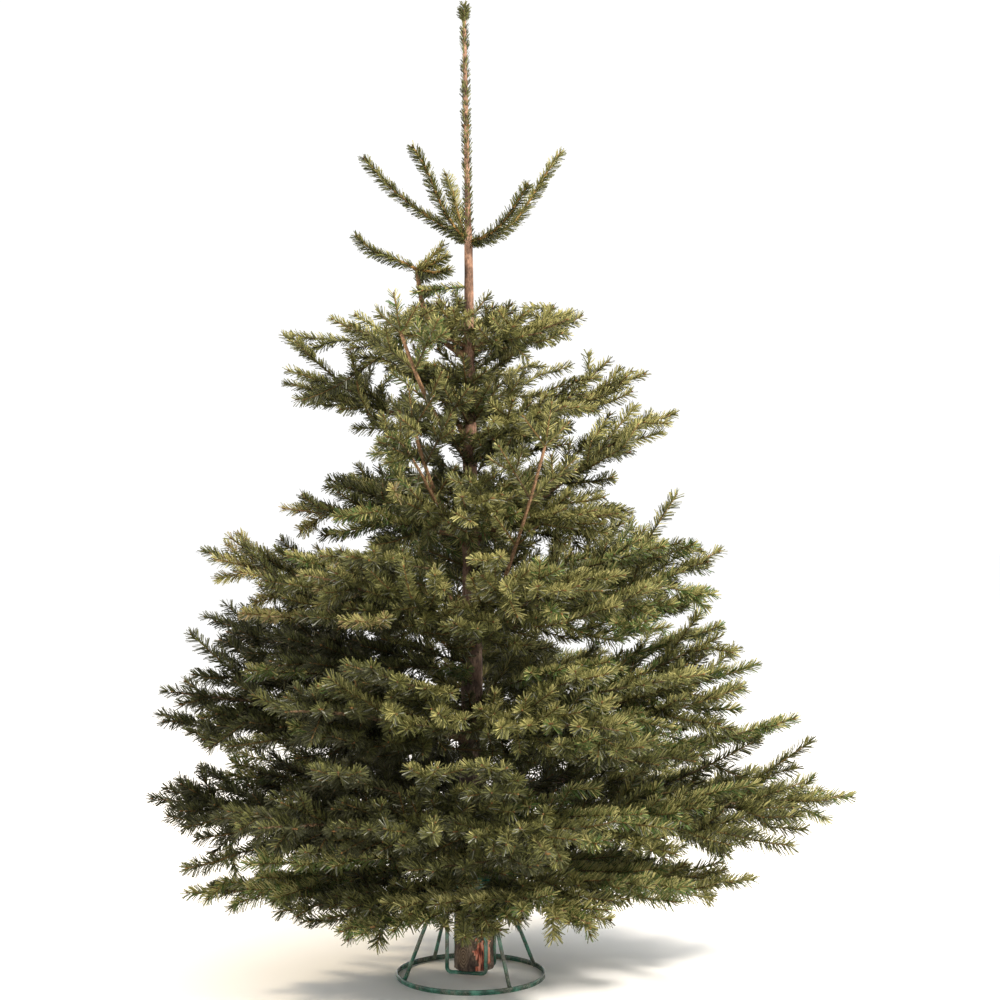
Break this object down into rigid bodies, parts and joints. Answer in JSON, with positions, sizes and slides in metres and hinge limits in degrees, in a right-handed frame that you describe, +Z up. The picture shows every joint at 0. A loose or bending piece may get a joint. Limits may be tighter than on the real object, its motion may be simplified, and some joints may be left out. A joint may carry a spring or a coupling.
{
  "type": "christmas tree",
  "caption": "Cut fir tree with whorls of needled boughs round a straight trunk, clamped in a low welded steel ring stand.",
  "frame": {"origin": "on the floor under the middle of the tree's box; the stand's centre lies 62 mm towards -X and 1 mm towards -Y", "axes": "+Z up along the trunk, +X to the right and +Y to the back as seen from the front"},
  "size_m": [1.4496, 1.1596, 2],
  "materials": {
    "stand_enamel": "green enamel paint on steel, worn brown along the edges",
    "trunk_bark": "rough grey-brown bark, smoother and warmer towards the top",
    "bough_bark": "thin orange-brown bark",
    "foliage": "short dark green needles with a soft waxy sheen"
  },
  "bodies": {
    "root": {"bough_3_1": "bough_bark", "bough_3_2": "bough_bark", "bough_4_1": "bough_bark", "bough_4_3": "bough_bark", "bough_5_1": "bough_bark", "bough_5_4": "bough_bark", "bough_7_1": "bough_bark", "bough_7_4": "bough_bark", "bough_side_leader": "bough_bark", "foliage_2_1": "foliage", "foliage_2_2": "foliage", "foliage_2_3": "foliage", "foliage_2_4": "foliage", "foliage_3_1": "foliage", "foliage_3_2": "foliage", "foliage_3_3": "foliage", "foliage_3_4": "foliage", "foliage_3_5": "foliage", "foliage_4_1": "foliage", "foliage_4_2": "foliage", "foliage_4_3": "foliage", "foliage_4_4": "foliage", "foliage_4_5": "foliage", "foliage_4_6": "foliage", "foliage_4_7": "foliage", "foliage_5_1": "foliage", "foliage_5_2": "foliage", "foliage_5_3": "foliage", "foliage_5_4": "foliage", "foliage_5_5": "foliage", "foliage_5_6": "foliage", "foliage_6_1": "foliage", "foliage_6_2": "foliage", "foliage_6_3": "foliage", "foliage_6_4": "foliage", "foliage_6_5": "foliage", "foliage_6_6": "foliage", "foliage_7_1": "foliage", "foliage_7_2": "foliage", "foliage_7_3": "foliage", "foliage_7_4": "foliage", "foliage_7_5": "foliage", "foliage_7_6": "foliage", "foliage_8_1": "foliage", "foliage_8_2": "foliage", "foliage_8_3": "foliage", "foliage_8_4": "foliage", "foliage_8_5": "foliage", "foliage_8_6": "foliage", "foliage_side_leader": "foliage", "foliage_top": "foliage", "stand_collar": "stand_enamel", "stand_cradle_back": "stand_enamel", "stand_cradle_front": "stand_enamel", "stand_leg_1": "stand_enamel", "stand_leg_2": "stand_enamel", "stand_leg_3": "stand_enamel", "stand_leg_4": "stand_enamel", "stand_ring": "stand_enamel", "trunk": "trunk_bark"}
  },
  "joints": []
}
